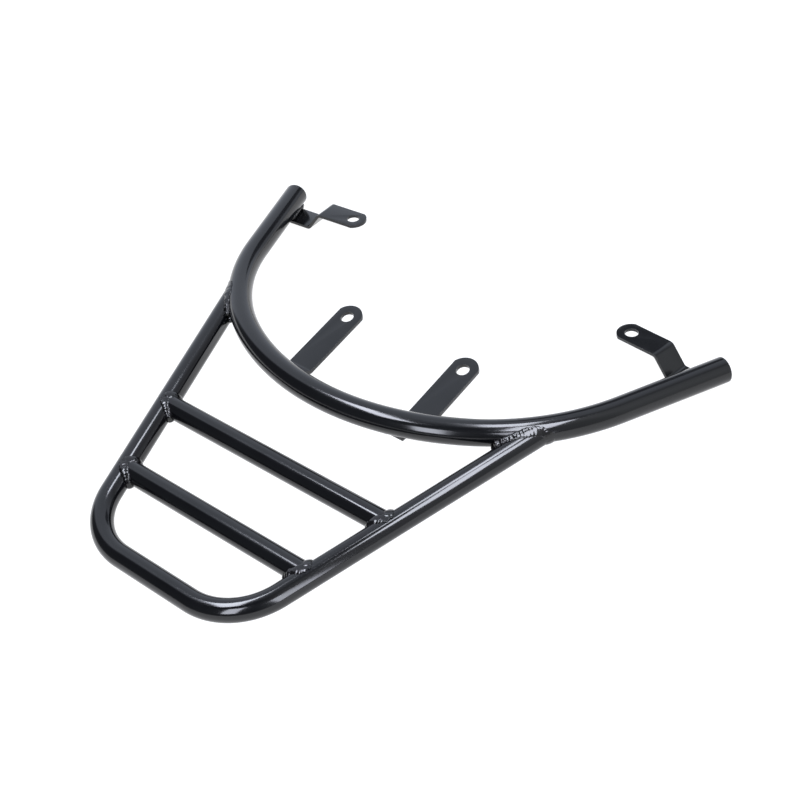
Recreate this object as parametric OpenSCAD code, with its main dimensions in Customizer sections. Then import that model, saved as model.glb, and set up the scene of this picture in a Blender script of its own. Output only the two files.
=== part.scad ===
// Luggage rack for a light motorcycle or moped, welded from bent steel tube and joggled flat bar.
// Origin: midway between the two strap holes, on the underside of the straps.
// X runs across, Y runs forward to the open ends of the hoop, and Z is up, square to the straps.

/* [Hoop tube] */
// Outer diameter of the hoop tube
hoop_d = 16; // [14:0.5:20]
// Wall thickness of the hoop tube
hoop_wall = 1.5; // [1:0.1:2.5]
// Centreline radius of the bend round the rear of the seat
hoop_rear_r = 177.5; // [165:0.5:190]
// Half of the angle that the rear bend turns through
hoop_rear_angle = 31; // [28:0.5:34]
// Centreline radius of the two side bends
hoop_side_r = 142.5; // [130:0.5:155]
// Angle that each side bend turns through
hoop_side_angle = 36.7; // [33:0.1:40]
// Straight length at each end of the hoop, cap included
hoop_leg_len = 73; // [60:1:100]
// Angle at which the hoop falls toward its open ends
hoop_fall = 13.8; // [10:0.1:17]
// Distance from the rear of the hoop forward to where the loop's legs join it
hoop_joint_y = 55.5; // [50:0.5:64]
// Thickness of the discs that close the hoop's ends
cap_t = 2; // [1:0.5:4]

/* [Luggage loop] */
// Outer diameter of the loop tube
loop_d = 14; // [12:0.5:15]
// Wall thickness of the loop tube
loop_wall = 1.5; // [1:0.1:2.5]
// Distance from the joints back to the loop's rear run
loop_reach = 202.5; // [170:0.5:240]
// Straight length of the loop's rear run between its bends
loop_rear_run = 58; // [40:1:80]
// Centreline radius of the loop's two corner bends
loop_corner_r = 44; // [36:1:52]
// Angle at which the loop rises toward the rear
loop_rise = 3; // [0:0.1:6]

/* [Cross tubes] */
// Outer diameter of the cross tubes
cross_d = 14; // [10:0.5:14]
// Wall thickness of the cross tubes
cross_wall = 1.5; // [1:0.1:2.5]
// Distance from the loop's rear run to the rear cross tube
cross_rear_gap = 48; // [40:0.5:60]
// Distance between the two cross tubes
cross_spacing = 51; // [35:0.5:65]

/* [Straps] */
// Width of the straps
strap_w = 18.5; // [16:0.5:22]
// Thickness of the straps
strap_t = 2.5; // [2:0.1:4]
// Diameter of the hole in each strap
strap_hole_d = 8.5; // [6:0.1:10]
// Radius of a strap's rounded end, about its hole
strap_end_r = 10; // [9.6:0.1:14]
// Distance between the two strap holes
strap_spacing = 96; // [80:0.5:120]
// Distance from the joints of hoop and loop forward to the strap holes
strap_forward = 16.5; // [8:0.5:30]
// Height of those joints' centres above the underside of the straps
joint_height = 10.6; // [8:0.1:14]
// Length of the level part of a strap, from its hole back to the bend
strap_reach = 47.5; // [42:0.5:52]
// Length of a strap under the hoop, forward of the tube's middle
strap_seat = 7.5; // [6.5:0.5:9]
// Distance that a strap reaches back past the middle of the hoop tube
strap_past = 0.5; // [0:0.5:3]

/* [Brackets] */
// Width of the brackets
bracket_w = 17; // [14:0.5:22]
// Thickness of the brackets
bracket_t = 2; // [1.6:0.1:4]
// Diameter of the hole in each bracket
bracket_hole_d = 8.5; // [6:0.1:10]
// Radius of a bracket's rounded end, about its hole
bracket_end_r = 9.3; // [8.6:0.1:13]
// Distance between the two bracket holes
bracket_spacing = 231.5; // [210:0.5:245]
// Height of a bracket's step
bracket_step = 12.8; // [8:0.2:16]
// Distance from a bracket's hole to the top of its step
bracket_reach = 24.5; // [16:0.5:30]
// Sideways length of a bracket's step
bracket_step_run = 10; // [6:0.5:14]
// Distance from the hoop's end back to the bracket holes
bracket_setback = 6.5; // [0:0.5:20]
// Angle at which the brackets point forward, from the tube to their holes
bracket_turn = 5; // [0:0.5:12]
// Distance that a bracket reaches past the middle of the hoop tube that it is welded to
bracket_past = 0.5; // [0:0.5:3]

/* [Welds] */
// Width of a weld bead on each tube
bead_w = 3; // [2:0.1:4]
// Height of a weld bead above the line between its edges
bead_h = 1.1; // [0.6:0.1:1.6]
// Gap left between two pieces before they are welded
weld_gap = 0.15; // [0.1:0.05:0.3]

/* [Hidden] */
$fn = 96;

hoop_r = hoop_d / 2;
loop_r = loop_d / 2;
cross_r = cross_d / 2;
cut_over = 0.5;
cap_edge = 0.8;
// How far the bends stand proud of the straight tube, and how far it runs into them
bend_swell = 0.05;
bend_lap = 0.3;
// Inside radius of the bends in the flat bar, and the flats that each is made of
bend_r = 1.5;
bend_steps = 8;
// Beads round a coped tube end: places round the tube, unevenness, and clearance to both tubes
bead_places = 36;
bead_lump = 0.3;
bead_gap = 0.1;
// Straight beads under the hoop, as [radius, how far round the tube from its lowest line]:
// beside the open side of the flat bar, and at its cut end
wide_seam = [2.6, 32];
end_seam = [1.5, 14];

// Hoop in its own plane, rear middle at the origin: side bend's centre, start of the straight end
side_angle = hoop_rear_angle + hoop_side_angle;
side_centre = [
    (hoop_rear_r - hoop_side_r) * sin(hoop_rear_angle),
    hoop_rear_r - (hoop_rear_r - hoop_side_r) * cos(hoop_rear_angle)
];
leg_start = side_centre + hoop_side_r * [sin(side_angle), -cos(side_angle)];
leg_dir = [cos(side_angle), sin(side_angle)];
hoop_end = leg_start + hoop_leg_len * leg_dir;
tube_leg_len = hoop_leg_len - cap_t;

// Loop in its own plane, joints on its X axis: where a leg meets the hoop, and a corner's centre
joint_x = side_centre.x + sqrt(pow(hoop_side_r, 2) - pow(side_centre.y - hoop_joint_y, 2));
rear_y = -loop_reach;
corner = [loop_rear_run / 2, rear_y + loop_corner_r];
to_joint = [joint_x, 0] - corner;
loop_leg_len = sqrt(pow(norm(to_joint), 2) - pow(loop_corner_r, 2));
loop_heading = atan2(to_joint.y, to_joint.x) + atan2(loop_corner_r, loop_leg_len);
loop_leg_dir = [cos(loop_heading), sin(loop_heading)];
cross_rear_y = rear_y + cross_rear_gap;
cross_front_y = cross_rear_y + cross_spacing;

function leg_x(y) = joint_x + y * loop_leg_dir.x / loop_leg_dir.y;

// Straps, seen from the side as [y, z]: hoop's underside over a strap, then the bar's middle line
hoop_y_at_strap = hoop_rear_r - sqrt(pow(hoop_rear_r, 2) - pow(strap_spacing / 2, 2));
under_hoop = side_point([hoop_y_at_strap, -hoop_r - weld_gap - strap_t / 2]);
along_seat = [cos(hoop_fall), -sin(hoop_fall)];
strap_line = [
    under_hoop - strap_past * along_seat,
    under_hoop + strap_seat * along_seat,
    [-strap_reach, strap_t / 2],
    [0, strap_t / 2]
];

// Right bracket in the hoop's plane: its hole, and where its middle line crosses the tube's
bracket_hole = [bracket_spacing / 2, hoop_end.y - bracket_setback];
bracket_dir = [cos(bracket_turn), -sin(bracket_turn)];
bracket_run = cross(hoop_end - bracket_hole, leg_dir) / cross(bracket_dir, leg_dir);
bracket_seat = bracket_hole + bracket_run * bracket_dir;
// The bar's middle line as [distance from the hole, z], past the cut at its outer end
bracket_low_z = -hoop_r - weld_gap - bracket_t / 2;
bracket_line = [
    [bracket_run + bracket_w, bracket_low_z],
    [bracket_reach + bracket_step_run, bracket_low_z],
    [bracket_reach, bracket_low_z + bracket_step],
    [0, bracket_low_z + bracket_step]
];

// A [y, z] point of the hoop's frame in the rack's frame
function side_point(p) = [
    (p[0] - hoop_joint_y) * cos(hoop_fall) + p[1] * sin(hoop_fall) - strap_forward,
    (hoop_joint_y - p[0]) * sin(hoop_fall) + p[1] * cos(hoop_fall) + joint_height
];

function unit(v) = v / norm(v);

// Places what is drawn in the hoop's own plane
module in_hoop_frame() {
    translate([0, -strap_forward, joint_height])
        rotate([-hoop_fall, 0, 0])
            translate([0, -hoop_joint_y, 0])
                children();
}

// Places what is drawn in the loop's own plane
module in_loop_frame() {
    translate([0, -strap_forward, joint_height])
        rotate([-loop_rise, 0, 0])
            children();
}

// Runs along the right leg of the loop, from its corner bend toward the joint
module along_leg() {
    translate([joint_x, 0, 0])
        rotate([0, 0, loop_heading])
            translate([-loop_leg_len, 0, 0])
                children();
}

module both_sides() {
    children();
    mirror([1, 0, 0])
        children();
}

// A bend that turns left, from a start at the origin that heads along +X
module tube_bend(bend_radius, angle, r) {
    translate([0, bend_radius, 0])
        rotate([0, 0, -90])
            rotate_extrude(angle = angle)
                translate([bend_radius, 0])
                    circle(r = r);
}

// A straight stretch along +X, with its laps into the bends at its ends
module tube_run(length, r, lap_start = 0, lap_end = 0) {
    translate([-lap_start, 0, 0])
        rotate([0, 90, 0])
            cylinder(r = r, h = length + lap_start + lap_end);
}

// Solid rod along the hoop's centreline, lengthened past its open ends by over
module hoop_rod(r, length, over = 0) {
    lap_angle = bend_lap / hoop_rear_r * 180 / PI;
    half_angle = hoop_rear_angle + lap_angle;
    translate([0, hoop_rear_r, 0])
        rotate([0, 0, -90 - half_angle])
            rotate_extrude(angle = 2 * half_angle)
                translate([hoop_rear_r, 0])
                    circle(r = r);
    both_sides() {
        translate([side_centre.x, side_centre.y, 0])
            rotate([0, 0, hoop_rear_angle - 90])
                rotate_extrude(angle = hoop_side_angle)
                    translate([hoop_side_r, 0])
                        circle(r = r + bend_swell);
        translate([leg_start.x, leg_start.y, 0])
            rotate([0, 0, side_angle])
                tube_run(length, r, bend_lap, over);
    }
}

// Solid rod along the loop's centreline
module loop_rod(r, over = 0) {
    translate([-corner.x, rear_y, 0])
        tube_run(loop_rear_run, r, bend_lap, bend_lap);
    both_sides() {
        translate([corner.x, rear_y, 0])
            tube_bend(loop_corner_r, loop_heading, r + bend_swell);
        along_leg()
            tube_run(loop_leg_len, r, bend_lap, over);
    }
}

module hoop_tube() {
    color("#17181b")
        in_hoop_frame()
            difference() {
                hoop_rod(hoop_r, tube_leg_len);
                hoop_rod(hoop_r - hoop_wall, tube_leg_len, cut_over);
            }
}

// Disc that closes an end of the hoop, with a rounded rim
module end_cap(side) {
    color("#1b1c20")
        in_hoop_frame()
            scale([side, 1, 1])
                translate([hoop_end.x, hoop_end.y, 0])
                    rotate([0, 0, side_angle])
                        translate([-cap_t, 0, 0])
                            rotate([0, 90, 0])
                                rotate_extrude() {
                                    square([hoop_r - cap_edge, cap_t]);
                                    square([hoop_r, cap_t - cap_edge]);
                                    translate([hoop_r - cap_edge, cap_t - cap_edge])
                                        circle(r = cap_edge);
                                }
}

module luggage_loop() {
    color("#191a1d")
        difference() {
            in_loop_frame()
                loop_rod(loop_r);
            in_loop_frame()
                loop_rod(loop_r - loop_wall, cut_over);
            in_hoop_frame()
                hoop_rod(hoop_r + weld_gap, hoop_leg_len);
        }
}

// Cross tube with both ends coped to the loop's legs
module cross_tube(y) {
    reach = leg_x(y);
    color("#191a1d")
        in_loop_frame()
            difference() {
                translate([-reach, y, 0])
                    tube_run(2 * reach, cross_r);
                translate([-reach, y, 0])
                    tube_run(2 * reach, cross_r - cross_wall, cut_over, cut_over);
                both_sides()
                    along_leg()
                        tube_run(loop_leg_len, loop_r + weld_gap);
            }
}

// One long side of a bent bar: its middle line moved left by offset, with the bends' arcs
function turn_at(line, i) =
    atan2(line[i + 1].y - line[i].y, line[i + 1].x - line[i].x)
    - atan2(line[i].y - line[i - 1].y, line[i].x - line[i - 1].x);
function left_of(head) = [-sin(head), cos(head)];
function bar_side(line, offset, middle_r) = [
    for (i = [0:len(line) - 1])
        let (
            last = i == len(line) - 1,
            ahead = line[last ? i : i + 1] - line[last ? i - 1 : i],
            behind = line[max(i, 1)] - line[max(i, 1) - 1],
            head = atan2(behind.y, behind.x)
        )
        if (i == 0 || last)
            line[i] + offset * left_of(atan2(ahead.y, ahead.x))
        else
            let (
                turn = turn_at(line, i),
                way = sign(turn),
                start = line[i] - middle_r * tan(abs(turn) / 2) * unit(behind),
                centre = start + way * middle_r * left_of(head)
            )
            for (k = [0:bend_steps])
                centre - way * (middle_r - way * offset) * left_of(head + turn * k / bend_steps)
];
function reversed(list) = [for (i = [len(list) - 1:-1:0]) list[i]];

// Flat bar of thickness t that follows a line of points, with its width along Z
module bent_bar(line, w, t, gap = 0) {
    middle_r = bend_r + t / 2;
    translate([0, 0, -w / 2 - gap])
        linear_extrude(w + 2 * gap)
            polygon(concat(
                bar_side(line, t / 2 + gap, middle_r),
                reversed(bar_side(line, -t / 2 - gap, middle_r))
            ));
}

// Bent bar whose last point is the middle of its hole, with a rounded end about the hole
module bar_with_hole(line, w, t, hole_d, end_r) {
    end = line[len(line) - 1];
    way = unit(end - line[len(line) - 2]);
    tip = end + (end_r + cut_over) * way;
    difference() {
        bent_bar([for (i = [0:len(line) - 2]) line[i], tip], w, t);
        translate([end.x, end.y, 0])
            rotate([0, 0, atan2(way.y, way.x)])
                rotate([90, 0, 0]) {
                    cylinder(d = hole_d, h = t + 2 * cut_over, center = true);
                    difference() {
                        translate([0, -w, -t])
                            cube([2 * end_r, 2 * w, 2 * t]);
                        cylinder(r = end_r, h = 3 * t, center = true);
                    }
                }
    }
}

module strap(side) {
    color("#34373d")
        translate([side * strap_spacing / 2, 0, 0])
            rotate([90, 0, 90])
                bar_with_hole(strap_line, strap_w, strap_t, strap_hole_d, strap_end_r);
}

// Places a bar that is drawn on the XY plane as the right bracket
module at_bracket() {
    translate([bracket_hole.x, bracket_hole.y, 0])
        rotate([90, 0, -bracket_turn])
            children();
}

// Turns what is drawn along Y to run along the hoop's end, over the bracket
module along_hoop_end() {
    translate([bracket_seat.x, bracket_seat.y, 0])
        rotate([0, 0, side_angle - 90])
            children();
}

// Bracket whose outer end is cut off along the hoop tube
module bracket(side) {
    color("#34373d")
        in_hoop_frame()
            scale([side, 1, 1])
                difference() {
                    at_bracket()
                        bar_with_hole(
                            bracket_line, bracket_w, bracket_t, bracket_hole_d, bracket_end_r
                        );
                    along_hoop_end()
                        translate([bracket_past, -bracket_w, -2 * hoop_d])
                            cube([2 * bracket_w, 2 * bracket_w, 2 * hoop_d]);
                }
}

// Nearest point of a centreline: an arc about a centre in the XY plane, or a straight line
function foot(way, p) =
    way[0] == "arc"
        ? way[1] + way[2] * unit([p.x - way[1].x, p.y - way[1].y, 0])
        : way[1] + ((p - way[1]) * way[2]) * way[2];
function clear_of(way, p) = norm(p - foot(way, p));
function on_tube(way, r, p) = foot(way, p) + r * unit(p - foot(way, p));

// How far along dir from p the tube of radius r round a centreline is met, between lo and hi
function meet(way, r, p, dir, lo, hi, steps = 30) =
    let (mid = (lo + hi) / 2)
    steps == 0
        ? mid
        : clear_of(way, p + mid * dir) > r
            ? meet(way, r, p, dir, mid, hi, steps - 1)
            : meet(way, r, p, dir, lo, mid, steps - 1);

// Section of a fillet bead at place i of the seam where a branch tube's end meets another tube
function bead_section(i, end, dir, branch_r, way, main_r) =
    let (
        angle = 360 * i / bead_places,
        across = unit(cross([0, 0, 1], dir)),
        p = end + branch_r * (cos(angle) * across + sin(angle) * cross(dir, across)),
        seam = p + meet(way, main_r + weld_gap, p, dir, -8 * branch_r, 0) * dir,
        branch = ["line", end, dir],
        out_branch = unit(seam - foot(branch, seam)),
        out_main = unit(seam - foot(way, seam)),
        along_branch = unit(out_main - (out_main * out_branch) * out_branch),
        along_main = unit(out_branch - (out_branch * out_main) * out_main),
        half_wedge = acos(along_branch * along_main) / 2,
        w = max(bead_w, min(bead_w / (2 * sin(half_wedge)), 3 * bead_w)),
        toe_branch = on_tube(branch, branch_r + bead_gap, seam + w * along_branch),
        toe_main = on_tube(way, main_r + bead_gap, seam + w * along_main),
        proud = bead_h * (1 + bead_lump * (i % 2)) * unit(along_branch + along_main)
    )
    [
        seam + bead_gap * (out_branch + out_main) / (1 + out_branch * out_main),
        on_tube(branch, branch_r + bead_gap, seam + w / 2 * along_branch),
        toe_branch,
        toe_branch + 0.25 * (toe_main - toe_branch) + 0.75 * proud,
        (toe_branch + toe_main) / 2 + proud,
        toe_branch + 0.75 * (toe_main - toe_branch) + 0.75 * proud,
        toe_main,
        on_tube(way, main_r + bead_gap, seam + w / 2 * along_main)
    ];

// Fillet bead all round the end of a branch tube
module bead_ring(end, dir, branch_r, way, main_r) {
    sections = [for (i = [0:bead_places - 1]) bead_section(i, end, dir, branch_r, way, main_r)];
    sides = len(sections[0]);
    points = [for (section = sections) each section];
    faces = [
        for (i = [0:bead_places - 1], j = [0:sides - 1])
            let (
                a = i * sides + j,
                b = i * sides + (j + 1) % sides,
                c = (i + 1) % bead_places * sides + (j + 1) % sides,
                d = (i + 1) % bead_places * sides + j
            )
            each [[a, b, c], [a, c, d]]
    ];
    polyhedron(points, faces);
}

module leg_weld(side) {
    fold = hoop_fall - loop_rise;
    color("#26282c")
        in_hoop_frame()
            scale([side, 1, 1])
                bead_ring(
                    [joint_x, hoop_joint_y, 0],
                    [loop_leg_dir.x, loop_leg_dir.y * cos(fold), loop_leg_dir.y * sin(fold)],
                    loop_r,
                    ["arc", [side_centre.x, side_centre.y, 0], hoop_side_r],
                    hoop_r
                );
}

module cross_weld(y, side) {
    color("#26282c")
        in_loop_frame()
            scale([side, 1, 1])
                bead_ring(
                    [leg_x(y), y, 0],
                    [1, 0, 0],
                    cross_r,
                    ["line", [joint_x, 0, 0], [loop_leg_dir.x, loop_leg_dir.y, 0]],
                    loop_r
                );
}

// Section of the beads under the hoop, around the tube's middle, with its lowest line toward -Y:
// the wide bead on the +X side, the end bead on the -X side
module seam_section() {
    for (seam = [wide_seam, [end_seam[0], -end_seam[1]]])
        translate(hoop_r * [sin(seam[1]), -cos(seam[1])])
            circle(r = seam[0]);
}

// Beads in front of and behind a strap's seat, along the hoop's rear bend
module strap_weld(side) {
    middle = asin(strap_spacing / 2 / hoop_rear_r);
    half = asin((strap_w / 2 - bead_h) / hoop_rear_r);
    color("#26282c")
        difference() {
            in_hoop_frame()
                scale([side, 1, 1])
                    translate([0, hoop_rear_r, 0])
                        rotate([0, 0, middle - half - 90])
                            rotate_extrude(angle = 2 * half)
                                translate([hoop_rear_r, 0])
                                    mirror([1, 0])
                                        seam_section();
            in_hoop_frame()
                scale([side, 1, 1])
                    translate([0, hoop_rear_r, 0])
                        rotate([0, 0, middle - 2 * half - 90])
                            rotate_extrude(angle = 4 * half)
                                translate([hoop_rear_r, 0])
                                    circle(r = hoop_r + bead_gap);
            translate([side * strap_spacing / 2, 0, 0])
                rotate([90, 0, 90])
                    bent_bar(strap_line, strap_w, strap_t, bead_gap);
        }
}

// Beads along both sides of the hoop's end, over a bracket's seat
module bracket_weld(side) {
    seam_len = bracket_w / sin(side_angle + bracket_turn) - 2 * bead_h;
    color("#26282c")
        in_hoop_frame()
            scale([side, 1, 1])
                difference() {
                    along_hoop_end()
                        rotate([90, 0, 0])
                            translate([0, 0, -seam_len / 2])
                                linear_extrude(seam_len)
                                    mirror([1, 0])
                                        seam_section();
                    along_hoop_end()
                        rotate([90, 0, 0])
                            cylinder(r = hoop_r + bead_gap, h = 2 * seam_len, center = true);
                    at_bracket()
                        bent_bar(bracket_line, bracket_w, bracket_t, bead_gap);
                }
}

hoop_tube();
end_cap(-1);  // left_end_cap
end_cap(1);  // right_end_cap
luggage_loop();
cross_tube(cross_front_y);  // front_cross_tube
cross_tube(cross_rear_y);  // rear_cross_tube
strap(-1);  // left_strap
strap(1);  // right_strap
bracket(-1);  // left_bracket
bracket(1);  // right_bracket
leg_weld(-1);  // left_leg_weld
leg_weld(1);  // right_leg_weld
cross_weld(cross_front_y, -1);  // front_cross_left_weld
cross_weld(cross_front_y, 1);  // front_cross_right_weld
cross_weld(cross_rear_y, -1);  // rear_cross_left_weld
cross_weld(cross_rear_y, 1);  // rear_cross_right_weld
strap_weld(-1);  // left_strap_weld
strap_weld(1);  // right_strap_weld
bracket_weld(-1);  // left_bracket_weld
bracket_weld(1);  // right_bracket_weld
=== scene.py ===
import random
from math import acos, atan2, cos, degrees, pi, radians, sin, sqrt, tan

import bmesh
import bpy
from mathutils import Matrix, Vector


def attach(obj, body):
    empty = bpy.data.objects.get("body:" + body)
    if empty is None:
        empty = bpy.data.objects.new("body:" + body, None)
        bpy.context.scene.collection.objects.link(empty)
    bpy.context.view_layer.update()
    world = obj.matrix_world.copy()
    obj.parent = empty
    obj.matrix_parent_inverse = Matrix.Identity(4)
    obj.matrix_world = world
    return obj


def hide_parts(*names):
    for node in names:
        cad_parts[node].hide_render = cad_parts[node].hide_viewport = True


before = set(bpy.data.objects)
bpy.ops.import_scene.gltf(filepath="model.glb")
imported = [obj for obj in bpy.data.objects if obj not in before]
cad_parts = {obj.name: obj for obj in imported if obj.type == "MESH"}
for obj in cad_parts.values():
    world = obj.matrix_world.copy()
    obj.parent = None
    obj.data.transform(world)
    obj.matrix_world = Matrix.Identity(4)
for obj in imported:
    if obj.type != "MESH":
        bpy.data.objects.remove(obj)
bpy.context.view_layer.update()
bpy.ops.object.select_all(action="DESELECT")
print("frame loaded")

mm = 0.001
random.seed(7)
hands = {-1: "left", 1: "right"}

# the bent tubes, in millimetres and degrees, each lying flat in its own plane as on the bender
hoop = {"radius": 8, "wall": 1.5, "rearBend": 177.5, "halfTurn": 31, "sideBend": 142.5, "sideTurn": 36.7,
        "straightEnd": 73, "fall": 13.8, "jointY": 55.5, "sides": 80}
loop = {"radius": 7, "wall": 1.5, "reach": 202.5, "rearRun": 58, "corner": 44, "rise": 3, "sides": 72}
crossTube = {"radius": 7, "wall": 1.5, "rearGap": 48, "spacing": 51, "sides": 72}
joint = {"back": 16.5, "height": 10.6, "gap": 0.15}  # where hoop and loop meet, from the strap holes

# the hoop in its plane: centre of the right side bend, direction and end of the straight end
endTurn = radians(hoop["halfTurn"] + hoop["sideTurn"])
halfTurn = radians(hoop["halfTurn"])
bendDifference = hoop["rearBend"] - hoop["sideBend"]
sideCentre = Vector((bendDifference * sin(halfTurn), hoop["rearBend"] - bendDifference * cos(halfTurn), 0))
endWay = Vector((cos(endTurn), sin(endTurn), 0))
endSide = Vector((sin(endTurn), -cos(endTurn), 0))
endStart = sideCentre + hoop["sideBend"] * endSide
hoopEnd = endStart + hoop["straightEnd"] * endWay
hoopPlane = (Matrix.Translation((0, -joint["back"] * mm, joint["height"] * mm))
             @ Matrix.Rotation(radians(-hoop["fall"]), 4, "X")
             @ Matrix.Translation((0, -hoop["jointY"] * mm, 0)))

# the loop in its plane, whose X axis runs through the two joints
jointX = sideCentre.x + sqrt(hoop["sideBend"] ** 2 - (sideCentre.y - hoop["jointY"]) ** 2)
corner = Vector((loop["rearRun"] / 2, loop["corner"] - loop["reach"], 0))
toJoint = Vector((jointX, 0, 0)) - corner
legLength = sqrt(toJoint.length ** 2 - loop["corner"] ** 2)
legTurn = atan2(toJoint.y, toJoint.x) + atan2(loop["corner"], legLength)
legWay = Vector((cos(legTurn), sin(legTurn), 0))
loopPlane = (Matrix.Translation((0, -joint["back"] * mm, joint["height"] * mm))
             @ Matrix.Rotation(radians(-loop["rise"]), 4, "X"))
rearY = crossTube["rearGap"] - loop["reach"]
frontY = rearY + crossTube["spacing"]


def legX(y):
    return jointX + y * legWay.x / legWay.y


def wayOf(heading):
    return Vector((cos(heading), sin(heading), 0))


def leftOf(heading):
    return Vector((-sin(heading), cos(heading), 0))


def select(*things):
    bpy.ops.object.select_all(action="DESELECT")
    for thing in things:
        thing.select_set(True)
    bpy.context.view_layer.objects.active = things[0]


def finishWith(thing, kind, **settings):  # adds a modifier and applies it
    select(thing)
    modifier = thing.modifiers.new(kind.lower(), kind)
    for name, value in settings.items():
        setattr(modifier, name, value)
    bpy.ops.object.modifier_apply(modifier=modifier.name)


def applyPlace(thing):
    select(thing)
    bpy.ops.object.transform_apply(location=True, rotation=True, scale=True)


def putOn(thing, plane):  # from its flat plane to its place on the rack
    thing.matrix_world = plane @ thing.matrix_world
    applyPlace(thing)


def flipped(side, size=4):  # the left hand is the right one, mirrored
    return Matrix.Scale(side, size, (1, 0, 0))


def editAll(thing):
    select(thing)
    bpy.ops.object.mode_set(mode="EDIT")
    bpy.ops.mesh.select_all(action="SELECT")


def pickEdges(thing, test):  # in edit mode, by the two ends of each edge
    bpy.ops.mesh.select_mode(type="EDGE")
    bpy.ops.mesh.select_all(action="DESELECT")
    mesh = bmesh.from_edit_mesh(thing.data)
    for edge in mesh.edges:
        if test(edge.verts[0].co, edge.verts[1].co):
            edge.select_set(True)
    bmesh.update_edit_mesh(thing.data)


def turnOutward(thing):
    editAll(thing)
    bpy.ops.mesh.remove_doubles(threshold=0.0005 * mm)
    bpy.ops.mesh.normals_make_consistent(inside=False)
    bpy.ops.object.mode_set(mode="OBJECT")


def cutAway(thing, cutter):
    finishWith(thing, "BOOLEAN", operation="DIFFERENCE", object=cutter, solver="EXACT")
    bpy.data.objects.remove(cutter)


def smooth(thing, angle=40):
    select(thing)
    bpy.ops.object.shade_smooth_by_angle(angle=radians(angle))


def extrudeAlong(place, heading, lengths):
    for length in lengths:
        move = length * wayOf(heading)
        bpy.ops.mesh.extrude_region_move(TRANSFORM_OT_translate={"value": move * mm})
        place = place + move
    return place


def spinRound(place, heading, radius, turn, steps):  # a left turn is above zero
    centre = place + radius * (leftOf(heading) if turn > 0 else -leftOf(heading))
    bpy.ops.mesh.spin(steps=steps, dupli=False, angle=-turn, center=centre * mm, axis=(0, 0, 1))
    return centre + Matrix.Rotation(turn, 3, "Z") @ (place - centre), heading + turn


bending = {"stepAngle": 1.6, "edgeRing": 1.5}  # degrees from ring to ring, and a short ring beside each bend


def bentTube(name, radius, sides, start, heading, route, solid=False):
    bpy.ops.mesh.primitive_circle_add(vertices=sides, radius=radius * mm, fill_type="NOTHING",
                                      location=start * mm, rotation=(0, pi / 2, heading))
    tube = bpy.context.object
    tube.name = name
    applyPlace(tube)
    editAll(tube)
    place = start
    for kind, *size in route:
        if kind == "run":
            edge = bending["edgeRing"]
            place = extrudeAlong(place, heading, (edge, size[0] - 2 * edge, edge))
        else:
            steps = round(size[1] / bending["stepAngle"])
            place, heading = spinRound(place, heading, size[0], radians(size[1]), steps)
    if solid:
        bpy.ops.mesh.select_all(action="SELECT")
        bpy.ops.mesh.fill_holes(sides=0)
    bpy.ops.object.mode_set(mode="OBJECT")
    turnOutward(tube)
    return tube


def giveWall(tube, wall):
    finishWith(tube, "SOLIDIFY", thickness=wall * mm, offset=-1, use_even_offset=True)


def leftEnd(over=0):  # the hoop's left end in its plane, for routes that start there
    return Vector((-hoopEnd.x, hoopEnd.y, 0)) + over * Vector((-endWay.x, endWay.y, 0))


def hoopRoute(straight):
    return [("run", straight), ("bend", hoop["sideBend"], hoop["sideTurn"]),
            ("bend", hoop["rearBend"], 2 * hoop["halfTurn"]),
            ("bend", hoop["sideBend"], hoop["sideTurn"]), ("run", straight)]


def hoopRod():  # solid rod that leaves the welding gap round the hoop
    return bentTube("hoop_rod", hoop["radius"] + joint["gap"], hoop["sides"], leftEnd(), -endTurn,
                    hoopRoute(hoop["straightEnd"]), solid=True)


cap = {"thick": 2, "edge": 0.8, "edgeSteps": 5}


def makeHoop():  # shorter by a cap at each end
    tubeLength = hoop["straightEnd"] - cap["thick"]
    tube = bentTube("hoop_finished", hoop["radius"], hoop["sides"], leftEnd(-cap["thick"]), -endTurn,
                    hoopRoute(tubeLength))
    giveWall(tube, hoop["wall"])
    putOn(tube, hoopPlane)
    smooth(tube)
    return tube


def makeCap(side):
    middle = hoopEnd - cap["thick"] / 2 * endWay
    bpy.ops.mesh.primitive_cylinder_add(vertices=hoop["sides"], radius=hoop["radius"] * mm,
                                        depth=cap["thick"] * mm, location=middle * mm,
                                        rotation=(0, pi / 2, endTurn))
    disc = bpy.context.object
    disc.name = hands[side] + "_cap_finished"
    editAll(disc)
    pickEdges(disc, lambda a, b: min(a.z, b.z) > cap["thick"] / 4 * mm)  # the outer face's rim
    bpy.ops.mesh.bevel(offset=cap["edge"] * mm, segments=cap["edgeSteps"], affect="EDGES")
    bpy.ops.object.mode_set(mode="OBJECT")
    applyPlace(disc)
    putOn(disc, hoopPlane @ flipped(side))
    turnOutward(disc)
    smooth(disc)
    return disc


def legRod():  # solid rod along the right leg, with the welding gap
    start = Vector((jointX, 0, 0)) - legLength * legWay
    return bentTube("leg_rod", loop["radius"] + joint["gap"], loop["sides"], start, legTurn,
                    [("run", legLength + loop["radius"])], solid=True)


def makeLoop():
    bend = ("bend", loop["corner"], degrees(legTurn))
    tube = bentTube("loop_finished", loop["radius"], loop["sides"], Vector((-jointX, 0, 0)), -legTurn,
                    [("run", legLength), bend, ("run", loop["rearRun"]), bend, ("run", legLength)])
    giveWall(tube, loop["wall"])
    putOn(tube, loopPlane)
    rod = hoopRod()
    putOn(rod, hoopPlane)
    cutAway(tube, rod)
    smooth(tube)
    return tube


def makeCross(name, y):
    reach = legX(y)
    tube = bentTube(name, crossTube["radius"], crossTube["sides"], Vector((-reach, y, 0)), 0,
                    [("run", 2 * reach)])
    giveWall(tube, crossTube["wall"])
    for side in (1, -1):
        rod = legRod()
        putOn(rod, flipped(side))
        turnOutward(rod)
        cutAway(tube, rod)
    putOn(tube, loopPlane)
    smooth(tube)
    return tube


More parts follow.
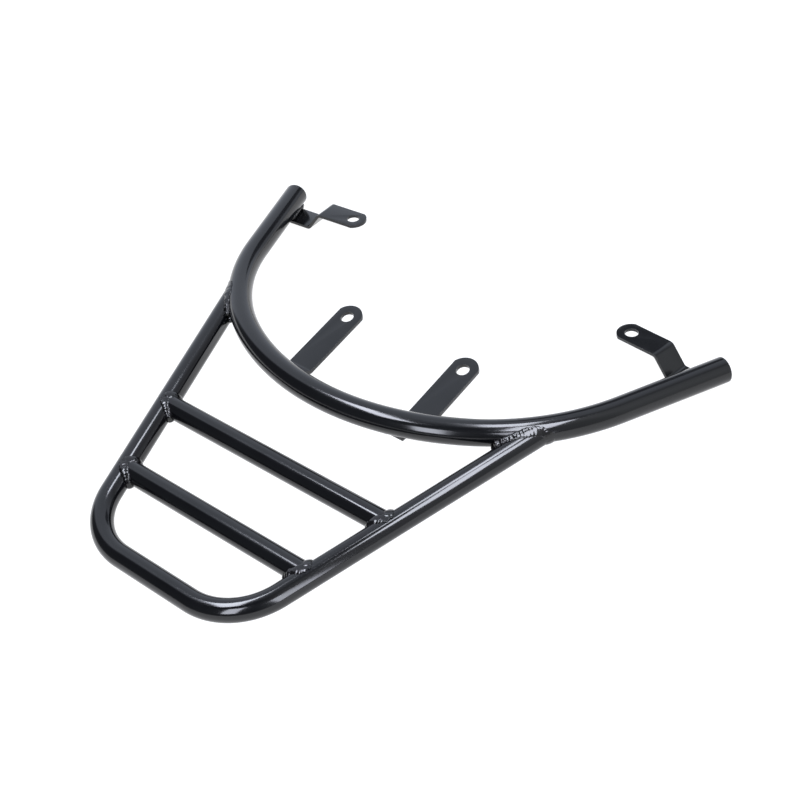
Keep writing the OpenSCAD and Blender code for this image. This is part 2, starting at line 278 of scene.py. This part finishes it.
# flat bar: the coat pulls back from its sheared edges and rounds them; depths of cut are in its thicknesses
bar = {"bend": 2.5, "bendSteps": 10, "edge": 0.6, "edgeSteps": 4, "edgeAngle": 55, "holeSides": 72,
       "holeDepth": 3, "blockDepth": 4, "arcDepth": 6}


def bentBar(name, size, line):
    # the bar lies on its edge on the XY plane, along a line of points, and its last point is its hole
    middleBend = bar["bend"] + size["thick"] / 2
    heads = [atan2(b.y - a.y, b.x - a.x) for a, b in zip(line, line[1:])]
    turns = [b - a for a, b in zip(heads, heads[1:])]
    cuts = [0] + [middleBend * tan(abs(turn) / 2) for turn in turns] + [-size["endRadius"]]
    bpy.ops.mesh.primitive_plane_add(size=1, location=line[0] * mm, rotation=(0, pi / 2, heads[0]))
    thing = bpy.context.object
    thing.name = name
    thing.scale = (size["width"] * mm, size["thick"] * mm, 1)
    applyPlace(thing)
    editAll(thing)
    place = line[0]
    for i, head in enumerate(heads):
        run = (line[i + 1] - line[i]).length - cuts[i] - cuts[i + 1]
        place = extrudeAlong(place, head, (run,))
        if i < len(turns):
            place, head = spinRound(place, head, middleBend, turns[i], bar["bendSteps"])
    bpy.ops.object.mode_set(mode="OBJECT")
    turnOutward(thing)
    return thing


def drill(thing, place, radius, depth, sides):
    bpy.ops.mesh.primitive_cylinder_add(vertices=sides, radius=radius * mm, depth=depth * mm,
                                        location=place * mm, rotation=(pi / 2, 0, 0))
    bit = bpy.context.object
    applyPlace(bit)
    cutAway(thing, bit)


def roundEnd(thing, size, hole, way):  # cuts the bar's end to an arc about its hole, and drills the hole
    bpy.ops.mesh.primitive_cube_add(size=1, location=(hole + way * size["endRadius"]) * mm)
    block = bpy.context.object
    block.scale = Vector((2 * size["endRadius"], bar["blockDepth"] * size["thick"], 2 * size["width"])) * mm
    applyPlace(block)
    drill(block, hole, size["endRadius"], bar["arcDepth"] * size["thick"], 2 * bar["holeSides"])
    drill(thing, hole, size["hole"] / 2, bar["holeDepth"] * size["thick"], bar["holeSides"])
    cutAway(thing, block)


def roundEdges(thing):
    finishWith(thing, "BEVEL", width=bar["edge"] * mm, segments=bar["edgeSteps"], limit_method="ANGLE",
               angle_limit=radians(bar["edgeAngle"]), use_clamp_overlap=True)
    turnOutward(thing)
    smooth(thing)


def inHoopSide(y, z):  # a point of the hoop's side view in the rack's side view
    point = hoopPlane @ (Vector((0, y, z)) * mm)
    return Vector((point.y, point.z, 0)) / mm


# reach runs from the hole to the bend, seat is the length under the hoop on one side of it, past on the other
strap = {"width": 18.5, "thick": 2.5, "hole": 8.5, "endRadius": 10, "spacing": 96, "reach": 47.5, "seat": 7.5,
         "past": 0.5}


def makeStrap(side):
    tubeY = hoop["rearBend"] - sqrt(hoop["rearBend"] ** 2 - (strap["spacing"] / 2) ** 2)
    under = inHoopSide(tubeY, -hoop["radius"] - joint["gap"] - strap["thick"] / 2)
    along = wayOf(-radians(hoop["fall"]))
    level = strap["thick"] / 2
    line = [under - strap["past"] * along, under + strap["seat"] * along,
            Vector((-strap["reach"], level, 0)), Vector((0, level, 0))]
    thing = bentBar(hands[side] + "_strap_finished", strap, line)
    roundEnd(thing, strap, line[-1], Vector((1, 0, 0)))
    roundEdges(thing)
    standUp = Matrix(((0, 0, 1, 0), (1, 0, 0, 0), (0, 1, 0, 0), (0, 0, 0, 1)))
    putOn(thing, Matrix.Translation((side * strap["spacing"] / 2 * mm, 0, 0)) @ standUp)
    return thing


# step is how far the hole's flat stands above the seat, stepRun how far the sloping part goes along
bracket = {"width": 17, "thick": 2, "hole": 8.5, "endRadius": 9.3, "spacing": 231.5, "step": 12.8,
           "reach": 24.5, "stepRun": 10, "setback": 6.5, "turn": 5, "past": 0.5}
bracketHole = Vector((bracket["spacing"] / 2, hoopEnd.y - bracket["setback"], 0))
bracketWay = wayOf(-radians(bracket["turn"]))
bracketRun = (hoopEnd - bracketHole).cross(endWay).z / bracketWay.cross(endWay).z
bracketSeat = bracketHole + bracketRun * bracketWay
bracketLow = -hoop["radius"] - joint["gap"] - bracket["thick"] / 2


def makeBracket(side):
    line = [Vector((bracketRun + bracket["width"], bracketLow, 0)),
            Vector((bracket["reach"] + bracket["stepRun"], bracketLow, 0)),
            Vector((bracket["reach"], bracketLow + bracket["step"], 0)),
            Vector((0, bracketLow + bracket["step"], 0))]
    thing = bentBar(hands[side] + "_bracket_finished", bracket, line)
    roundEnd(thing, bracket, line[-1], Vector((-1, 0, 0)))
    standUp = (Matrix.Translation(bracketHole * mm) @ Matrix.Rotation(-radians(bracket["turn"]), 4, "Z")
               @ Matrix.Rotation(pi / 2, 4, "X"))
    putOn(thing, standUp)
    editAll(thing)
    bpy.ops.mesh.bisect(plane_co=(bracketSeat + bracket["past"] * endSide) * mm, plane_no=endSide,
                        use_fill=True, clear_outer=True)
    bpy.ops.object.mode_set(mode="OBJECT")
    roundEdges(thing)
    putOn(thing, hoopPlane @ flipped(side))
    turnOutward(thing)
    smooth(thing)
    return thing


# centrelines that a bead needs: the foot of a point on the hoop's side bend, or on a straight tube
def footOnArc(point, centre, radius):
    flat = Vector((point.x - centre.x, point.y - centre.y, 0))
    return centre + radius * flat.normalized()


def footOnLine(point, start, way):
    return start + (point - start).dot(way) * way


saddle = {"places": 720, "halvings": 30, "depth": 8}  # the depth is in radii of the branch tube


def seamPlaces(end, way, branchRadius, foot, mainRadius):
    # the saddle curve where a branch tube's skin meets the main tube, with the bead's frame at each place
    across = Vector((0, 0, 1)).cross(way).normalized()
    upward = way.cross(across)
    places = []
    for i in range(saddle["places"]):
        turn = 2 * pi * i / saddle["places"]
        skin = end + branchRadius * (cos(turn) * across + sin(turn) * upward)
        low, high = -saddle["depth"] * branchRadius, 0
        for _ in range(saddle["halvings"]):
            middle = (low + high) / 2
            point = skin + middle * way
            if (point - foot(point)).length > mainRadius:
                low = middle
            else:
                high = middle
        seam = skin + (low + high) / 2 * way
        outBranch = (seam - footOnLine(seam, end, way)).normalized()
        outMain = (seam - foot(seam)).normalized()
        onBranch = (outMain - outMain.dot(outBranch) * outBranch).normalized()
        onMain = (outBranch - outBranch.dot(outMain) * outMain).normalized()
        places.append((seam, onBranch, onMain))
    return places


def evenly(places, pitch):  # every place that lies a pitch further along the seam
    chosen, run = [], pitch
    for before, now in zip(places[-1:] + places[:-1], places):
        run += (now[0] - before[0]).length
        if run >= pitch:
            chosen.append((before, now))
            run -= pitch
    return chosen


def mirrored(places, side):  # the vectors of each place change sides, and its sizes stay
    flip = flipped(side, 3)
    return [[flip @ part if isinstance(part, Vector) else part for part in place] for place in places]


# weld beads: leg is the width on each tube, longestLeg its limit, web the width across a tight corner, crown
# how far they bulge past a flat fillet, pitch the way from ripple to ripple, sink the share of a ripple that
# lies buried, uneven how much the ripples differ, and settle how often they are smoothed into one another
bead = {"leg": 2.7, "longestLeg": 8.1, "web": 3.7, "crown": 0.7, "pitch": 2.1, "length": 2.4, "sink": 0.55,
        "uneven": 0.11, "voxel": 0.3, "settle": 11}


def uneven(times=1):
    return 1 + random.uniform(-bead["uneven"], bead["uneven"]) * times


def ripple(middle, along, out, length, width, height):
    # a ball pressed to its length along the seam, its width across it and its height out of it
    bpy.ops.mesh.primitive_uv_sphere_add(segments=20, ring_count=12, radius=1)
    ball = bpy.context.object
    across = along.cross(out).normalized()
    ball.matrix_world = Matrix.Translation(middle * mm) @ Matrix((along, across, out)).transposed().to_4x4()
    ball.scale = Vector((length, width, height)) * mm
    return ball


def fuse(name, ripples, plane):  # ripples become one lumpy bead, in its place on the rack
    select(*ripples)
    bpy.ops.object.join()
    thing = bpy.context.object
    thing.name = name
    applyPlace(thing)
    finishWith(thing, "REMESH", mode="VOXEL", voxel_size=bead["voxel"] * mm)
    finishWith(thing, "SMOOTH", factor=0.5, iterations=bead["settle"])
    turnOutward(thing)
    select(thing)
    bpy.ops.object.shade_smooth()
    putOn(thing, plane)
    return thing


def ringBead(name, places, plane):
    ripples = []
    for before, now in evenly(places, bead["pitch"]):
        seam, onBranch, onMain = now
        half = acos(max(-1, min(1, onBranch.dot(onMain)))) / 2
        middleWay = (onBranch + onMain).normalized()
        leg = max(bead["leg"], min(bead["web"] / (2 * sin(half)), bead["longestLeg"])) * uneven()
        flat = leg * cos(half)
        rise = (1 - bead["sink"]) * flat  # from the ripple's middle up to the flat between the two toes
        height = rise + bead["crown"] * cos(half) * uneven(2)
        width = leg * sin(half) / sqrt(1 - (rise / height) ** 2)  # so its surface runs through both toes
        along = (seam - before[0]).normalized()
        out = (middleWay - middleWay.dot(along) * along).normalized()
        middle = seam + (flat - rise) * out
        ripples.append(ripple(middle, along, out, bead["length"] * uneven(2), width, height))
    return fuse(name, ripples, plane)


def makeLegBead(side):
    fold = radians(hoop["fall"] - loop["rise"])
    legOnHoop = Vector((legWay.x, legWay.y * cos(fold), legWay.y * sin(fold)))
    places = seamPlaces(Vector((jointX, hoop["jointY"], 0)), legOnHoop, loop["radius"],
                        lambda p: footOnArc(p, sideCentre, hoop["sideBend"]), hoop["radius"] + joint["gap"])
    return ringBead(hands[side] + "_leg_bead", mirrored(places, side), hoopPlane)


def makeCrossBead(name, y, side):
    places = seamPlaces(Vector((legX(y), y, 0)), Vector((1, 0, 0)), crossTube["radius"],
                        lambda p: footOnLine(p, Vector((jointX, 0, 0)), legWay),
                        loop["radius"] + joint["gap"])
    return ringBead(name, mirrored(places, side), loopPlane)


# the two beads that hold a flat bar under the hoop: each lies on the tube at an angle from its lowest line
seat = {"frontAngle": 32, "frontSize": 2.7, "rearAngle": 14, "rearSize": 1.6, "bracketSize": 3.5,
        "height": 0.72, "sunk": 0.2, "strapMargin": 1.5, "bracketMargin": 1.2}


def seatBead(name, side, count, frontSize, tubePlace):
    # tubePlace gives the tube's middle, the way along it and the way outward, by share of the bead's length
    spots = []
    for angle, size in ((seat["frontAngle"], frontSize), (-seat["rearAngle"], seat["rearSize"])):
        tilt = radians(angle)
        for i in range(count):
            middle, along, outward = tubePlace(i / (count - 1))
            out = (-sin(tilt) * outward + Vector((0, 0, -cos(tilt)))).normalized()
            spots.append((middle + (hoop["radius"] - seat["sunk"]) * out, along, out, size))
    ripples = [ripple(middle, along, out, bead["length"] * uneven(2), size * uneven(),
                      seat["height"] * size * uneven())
               for middle, along, out, size in mirrored(spots, side)]
    return fuse(name, ripples, hoopPlane)


def makeStrapBead(side):
    centre = Vector((0, hoop["rearBend"], 0))
    middleTurn = atan2(strap["spacing"] / 2, sqrt(hoop["rearBend"] ** 2 - (strap["spacing"] / 2) ** 2))
    half = (strap["width"] / 2 - seat["strapMargin"]) / hoop["rearBend"]

    def tubePlace(share):
        turn = middleTurn - half + 2 * half * share
        outward = Vector((sin(turn), -cos(turn), 0))  # away from the bend's centre
        return centre + hoop["rearBend"] * outward, wayOf(turn), outward

    return seatBead(hands[side] + "_strap_bead", side, round(strap["width"] / bead["pitch"]),
                    seat["frontSize"], tubePlace)


def makeBracketBead(side):
    length = bracket["width"] / sin(endTurn + radians(bracket["turn"]))

    def tubePlace(share):
        shift = (share - 0.5) * (length - 2 * seat["bracketMargin"])
        return bracketSeat + shift * endWay, endWay, endSide

    return seatBead(hands[side] + "_bracket_bead", side, round(length / bead["pitch"]),
                    seat["bracketSize"], tubePlace)


# finishes
def hexColour(code):  # sRGB hex to the linear values that a shader takes
    parts = [int(code[i:i + 2], 16) / 255 for i in (1, 3, 5)]
    return [v / 12.92 if v <= 0.04045 else ((v + 0.055) / 1.055) ** 2.4 for v in parts] + [1]


def addNode(owner, kind, inputs=None, **settings):
    node = owner.node_tree.nodes.new("ShaderNode" + kind)
    for name, value in settings.items():
        setattr(node, name, value)
    for socket, value in (inputs or {}).items():
        if isinstance(value, bpy.types.NodeSocket):
            owner.node_tree.links.new(value, node.inputs[socket])
        else:
            node.inputs[socket].default_value = value
    return node


def emptied(owner):  # a new material or world, without the nodes it comes with
    owner.use_nodes = True
    owner.node_tree.nodes.clear()
    return owner


# gloss black powder coat on steel: a thick cured plastic film, so a clear mirror-like gloss that waves a
# little, like orange peel, over a near-black ground; cloud, peel and wave are pattern sizes in millimetres
tubeCoat = {"dark": "#030304", "light": "#060709", "cloud": 30, "peel": 2.6, "peelDepth": 0.006, "wave": 14,
            "waveDepth": 0.02, "smoothest": 0.10, "roughest": 0.17}
barCoat = {"dark": "#040506", "light": "#08090b", "cloud": 18, "peel": 1.8, "peelDepth": 0.012, "wave": 9,
           "waveDepth": 0.02, "smoothest": 0.13, "roughest": 0.19}
weldCoat = {"dark": "#030303", "light": "#060607", "cloud": 6, "peel": 1.2, "peelDepth": 0.03, "wave": 3,
            "waveDepth": 0.03, "smoothest": 0.10, "roughest": 0.18}


def powderCoat(name, coat):
    material = emptied(bpy.data.materials.new(name))
    where = addNode(material, "TexCoord").outputs["Object"]
    cloud = addNode(material, "TexNoise", {"Vector": where, "Scale": 1 / (coat["cloud"] * mm), "Detail": 3})
    colour = addNode(material, "MixRGB", {"Fac": cloud.outputs["Fac"], "Color1": hexColour(coat["dark"]),
                                          "Color2": hexColour(coat["light"])})
    gloss = addNode(material, "MapRange", {"Value": cloud.outputs["Fac"], "From Min": 0.3, "From Max": 0.7,
                                           "To Min": coat["smoothest"], "To Max": coat["roughest"]})
    peel = addNode(material, "TexNoise", {"Vector": where, "Scale": 1 / (coat["peel"] * mm), "Detail": 1})
    wave = addNode(material, "TexNoise", {"Vector": where, "Scale": 1 / (coat["wave"] * mm), "Detail": 1})
    peelBump = addNode(material, "Bump", {"Height": peel.outputs["Fac"], "Distance": coat["peelDepth"] * mm})
    waveBump = addNode(material, "Bump", {"Height": wave.outputs["Fac"], "Distance": coat["waveDepth"] * mm,
                                          "Normal": peelBump.outputs["Normal"]})
    shader = addNode(material, "BsdfPrincipled", {"Base Color": colour.outputs["Color"], "IOR": 1.5,
                                                  "Roughness": gloss.outputs["Result"],
                                                  "Normal": waveBump.outputs["Normal"]})
    addNode(material, "OutputMaterial", {"Surface": shader.outputs["BSDF"]})
    return material


def finish(piece, material, slotName, *nodes):
    piece.data.materials.clear()
    piece.data.materials.append(material)
    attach(piece, "root")
    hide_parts(*nodes)


tubeGloss = powderCoat("gloss_black_powder_coat", tubeCoat)
barGloss = powderCoat("satin_black_powder_coat", barCoat)
weldGloss = powderCoat("black_powder_coat_over_welds", weldCoat)
print("finishes made")

finish(makeHoop(), tubeGloss, "tube_coat", "hoop_tube")
finish(makeLoop(), tubeGloss, "tube_coat", "luggage_loop")
finish(makeCross("front_cross_finished", frontY), tubeGloss, "tube_coat", "front_cross_tube")
finish(makeCross("rear_cross_finished", rearY), tubeGloss, "tube_coat", "rear_cross_tube")
print("tubes bent and coped")

for side, hand in hands.items():
    finish(makeCap(side), tubeGloss, "tube_coat", hand + "_end_cap")
    finish(makeStrap(side), barGloss, "bar_coat", hand + "_strap")
    finish(makeBracket(side), barGloss, "bar_coat", hand + "_bracket")
print("caps and flat bars made")

for side, hand in hands.items():
    finish(makeLegBead(side), weldGloss, "weld_coat", hand + "_leg_weld")
    for place, y in (("front", frontY), ("rear", rearY)):
        name = place + "_cross_" + hand
        finish(makeCrossBead(name + "_bead", y, side), weldGloss, "weld_coat", name + "_weld")
    finish(makeStrapBead(side), weldGloss, "weld_coat", hand + "_strap_weld")
    finish(makeBracketBead(side), weldGloss, "weld_coat", hand + "_bracket_weld")
print("weld beads laid")

# floor, tilted to where the rack rests: on its two brackets and on the loop's rear run
floor = {"frontY": 69, "frontZ": -24.2, "rearY": -218, "rearZ": 3.8, "size": 50000, "colour": "#5e5f62",
         "glow": 0.97}
floorTilt = atan2(floor["frontZ"] - floor["rearZ"], floor["frontY"] - floor["rearY"])
bpy.ops.mesh.primitive_plane_add(size=floor["size"] * mm, rotation=(floorTilt, 0, 0),
                                 location=(0, floor["frontY"] * mm, floor["frontZ"] * mm))
ground = bpy.context.object
ground.name = "floor"
# lit from below, so that shadows on it stay faint
acrylic = emptied(bpy.data.materials.new("backlit_white_acrylic_table"))
sheet =addNode(acrylic, "BsdfPrincipled", {"Base Color": hexColour(floor["colour"]), "Roughness": 0.9,
                                            "Emission Color": hexColour("#ffffff"),
                                            "Emission Strength": floor["glow"]})
addNode(acrylic, "OutputMaterial", {"Surface": sheet.outputs["BSDF"]})
ground.data.materials.append(acrylic)

# a light tent: three small softboxes close to the rack and two higher up, all facing the tent's middle; long
# is the side that points at the floor, and turn is how far the box is turned from that, in degrees
tent = {"middle": Vector((0, -60, 12)), "tint": "#eef2ff"}
softboxes = {
    "right_softbox": {"place": (235, -25, 285), "long": 125, "wide": 170, "turn": 22, "radiance": 16},
    "overhead_softbox": {"place": (-370, -135, 1060), "long": 215, "wide": 680, "turn": 25, "radiance": 19},
    "front_softbox": {"place": (10, 345, 1000), "long": 450, "wide": 210, "turn": 38, "radiance": 17},
    "rear_softbox": {"place": (160, -565, 390), "long": 385, "wide": 140, "turn": 0, "radiance": 11.5},
    "low_right_softbox": {"place": (420, -265, 220), "long": 335, "wide": 105, "turn": 8, "radiance": 9}}
for name, box in softboxes.items():
    place = Vector(box["place"])
    outward = (place - tent["middle"]).normalized()
    across = Vector((0, 0, -1)).cross(outward).normalized()
    downward = Matrix.Rotation(radians(box["turn"]), 3, outward) @ outward.cross(across)
    lampData = bpy.data.lights.new(name, "AREA")
    lampData.shape = "RECTANGLE"
    lampData.size = box["wide"] * mm
    lampData.size_y = box["long"] * mm
    lampData.energy = box["radiance"] * pi * lampData.size * lampData.size_y
    lampData.color = hexColour(tent["tint"])[:3]
    lamp = bpy.data.objects.new(name, lampData)
    bpy.context.scene.collection.objects.link(lamp)
    lamp.matrix_world = (Matrix.Translation(place * mm)
                         @ Matrix((downward.cross(outward), downward, outward)).transposed().to_4x4())
    lamp.visible_camera = False

# a grey card in front of the rack, which darkens the flat of the right bracket as in the photo
card = {"place": Vector((-120, 500, 207)), "facing": Vector((116, 81, -10)), "width": 220, "height": 260,
        "colour": "#6c6e74"}
cardTurn = (card["facing"] - card["place"]).to_track_quat("Z", "Y").to_euler()
bpy.ops.mesh.primitive_plane_add(size=1, location=card["place"] * mm, rotation=cardTurn)
greyCard = bpy.context.object
greyCard.name = "grey_card"
greyCard.scale = (card["width"] * mm, card["height"] * mm, 1)
paper = emptied(bpy.data.materials.new("matt_grey_paper"))  # matt, so it gives back little light, and evenly
pulp =addNode(paper, "BsdfPrincipled", {"Base Color": hexColour(card["colour"]), "Roughness": 0.9})
addNode(paper, "OutputMaterial", {"Surface": pulp.outputs["BSDF"]})
greyCard.data.materials.append(paper)
greyCard.visible_camera = False

# the tent's walls, by bearing in degrees from the rear round the left, front and right, and how pale each is
walls = [(0, "#70747a"), (61, "#585a60"), (88, "#585a60"), (94, "#e8f0ff"), (180, "#e8f0ff"),
         (202, "#c6cad4"), (212, "#a2a6ac"), (227, "#d6dae0"), (252, "#e6eaf0"), (270, "#bcc0c4"),
         (288, "#b0b2b8"), (302, "#8a8c94"), (313, "#64666c"), (360, "#70747a")]
roof = {"starts": 0.85, "ends": 0.98, "wallGlow": 1.15, "roofGlow": 0.45}  # by the sine of the height
world = emptied(bpy.data.worlds.new("tent_walls"))
bpy.context.scene.world = world
skyward = addNode(world, "SeparateXYZ", {"Vector": addNode(world, "TexCoord").outputs["Generated"]})
bearing = addNode(world, "Math", {0: skyward.outputs["X"], 1: skyward.outputs["Y"]}, operation="ARCTAN2")
share = addNode(world, "MapRange", {"Value": bearing.outputs["Value"], "From Min": -pi, "From Max": pi})
ramp = addNode(world, "ValToRGB", {"Fac": share.outputs["Result"]})
for degree, code in walls[1:-1]:
    ramp.color_ramp.elements.new(degree / 360)
for stop, (degree, code) in zip(ramp.color_ramp.elements, walls):
    stop.position = degree / 360
    stop.color = hexColour(code)
strength = addNode(world, "MapRange", {"Value": skyward.outputs["Z"], "From Min": roof["starts"],
                                       "From Max": roof["ends"], "To Min": roof["wallGlow"],
                                       "To Max": roof["roofGlow"]})
glow = addNode(world, "Background", {"Color": ramp.outputs["Color"], "Strength": strength.outputs["Result"]})
addNode(world, "OutputWorld", {"Surface": glow.outputs["Background"]})
bpy.context.scene.view_settings.view_transform = "Standard"

# camera at the photo's angle: a 70 mm lens from the right rear, rolled as the picture is
view = {"place": Vector((549.5, -417, 700.1)), "aim": Vector((26.5, -36.5, 0)), "roll": -19.38, "lens": 70.44,
        "sensor": 36}
cameraData = bpy.data.cameras.new("camera")
cameraData.lens = view["lens"]
cameraData.sensor_width = view["sensor"]
camera = bpy.data.objects.new("camera", cameraData)
bpy.context.scene.collection.objects.link(camera)
camera.location = view["place"] * mm
looking = (view["aim"] - view["place"]).to_track_quat("-Z", "Y").to_matrix()
camera.rotation_euler = (looking @ Matrix.Rotation(radians(view["roll"]), 3, "Z")).to_euler()
bpy.context.scene.camera = camera
print("floor, lights and camera set")

bpy.ops.object.select_all(action="DESELECT")
